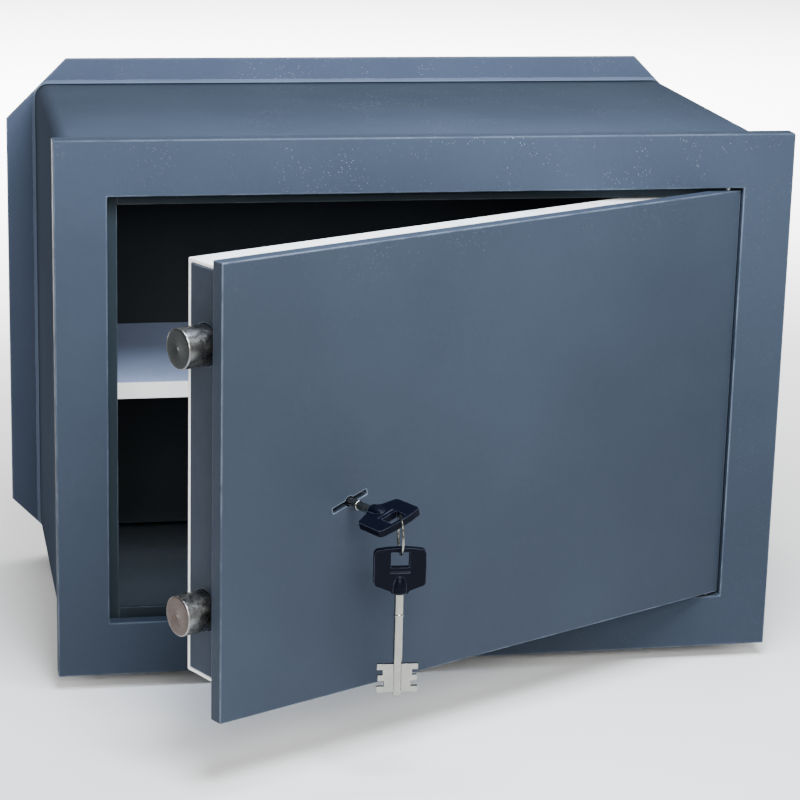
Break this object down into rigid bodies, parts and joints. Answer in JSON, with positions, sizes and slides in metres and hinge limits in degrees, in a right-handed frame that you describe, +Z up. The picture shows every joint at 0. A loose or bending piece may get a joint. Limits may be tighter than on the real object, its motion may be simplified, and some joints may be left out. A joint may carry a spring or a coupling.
{
  "type": "built-in wall safe",
  "caption": "Steel box for bricking into a wall, with a right-hinged door, key-driven round bolts, an inner shelf and double-bit keys.",
  "frame": {"origin": "centre of the back plate's rear face", "axes": "+X to the right seen from the front, +Y out of the back into the wall, +Z up; the door faces -Y"},
  "size_m": [0.52, 0.4899, 0.38],
  "materials": {
    "casing_paint": "satin, fine texture",
    "door_paint": "satin, fine texture",
    "inner_paint": "satin dark",
    "shelf_paint": "satin",
    "white_enamel": "gloss",
    "plain_steel": "milled",
    "nickel": "bright nickel plate",
    "brass": "milled",
    "bow_plastic": "moulded",
    "zinc": "zinc plated"
  },
  "bodies": {
    "casing": {"front_frame": "casing_paint", "body_top": "casing_paint", "body_left": "casing_paint", "body_floor": "casing_paint", "body_right": "casing_paint", "back_plate": "casing_paint", "stop_left": "inner_paint", "stop_top": "inner_paint", "stop_bottom": "inner_paint", "stop_right": "inner_paint", "strike_jamb": "inner_paint", "upper_hinge_socket": "plain_steel", "lower_hinge_socket": "plain_steel", "shelf": "shelf_paint", "shelf_lip": "white_enamel", "shelf_support_left": "inner_paint", "shelf_support_right": "inner_paint"},
    "door": {"door_plate": "door_paint", "upper_hinge_pin": "plain_steel", "lower_hinge_pin": "plain_steel", "bolt_side_channel": "door_paint", "hinge_side_channel": "door_paint", "rear_cover": "white_enamel", "cover_screw_1": "zinc", "cover_screw_2": "zinc", "cover_screw_3": "zinc", "cover_screw_4": "zinc", "upper_dog": "plain_steel", "lower_dog": "plain_steel", "upper_bolt_guide": "plain_steel", "lower_bolt_guide": "plain_steel", "drill_plate": "plain_steel", "lock_case": "plain_steel", "lock_cap": "plain_steel", "lever_pin": "brass"},
    "bolt_work": {"upper_bolt": "nickel", "lower_bolt": "nickel", "bolt_bar": "plain_steel", "throw_bar": "brass"},
    "levers": {"lever_1": "brass", "lever_2": "brass", "lever_3": "brass"},
    "key_hub": {"key_hub": "brass"},
    "key": {"key_blade": "nickel", "key_bow": "bow_plastic"},
    "ring": {"key_ring": "nickel"},
    "spare_key": {"spare_key_blade": "nickel", "spare_key_bow": "bow_plastic"}
  },
  "joints": [
    {"name": "door_hinge", "type": "hinge", "parent": "casing", "child": "door", "pos_m": [0.2017, -0.2845, 0], "axis": [0, 0, 1], "range_deg": [-27, 78]},
    {"name": "bolt_throw", "type": "slide", "parent": "door", "child": "bolt_work", "axis": [0.891, 0.454, 0], "range_m": [0, 0.02]},
    {"name": "lever_lift", "type": "hinge", "parent": "door", "child": "levers", "pos_m": [-0.06376, -0.39282, 0.024], "axis": [-0.454, 0.891, 0], "range_deg": [0, 4], "stiffness_Nm_per_rad": 0.02},
    {"name": "key_turn", "type": "hinge", "parent": "door", "child": "key_hub", "pos_m": [-0.07709, -0.43273, -0.018], "axis": [0.454, -0.891, 0], "range_deg": [0, 360]},
    {"name": "key_pull", "type": "slide", "parent": "key_hub", "child": "key", "axis": [0.454, -0.891, 0], "range_m": [0, 0.06]},
    {"name": "ring_swing", "type": "hinge", "parent": "key", "child": "ring", "pos_m": [-0.0543, -0.47745, -0.01409], "axis": [0.0523, 0.9986, 0], "range_deg": [-4, 4]},
    {"name": "spare_key_swing", "type": "hinge", "parent": "ring", "child": "spare_key", "pos_m": [-0.0543, -0.47745, -0.03709], "axis": [0.0523, 0.9986, 0], "range_deg": [-10, 10]}
  ],
  "couplings": [
    {"joint": "key_turn", "follows": "bolt_throw", "rad_per_m": 314.15}
  ]
}
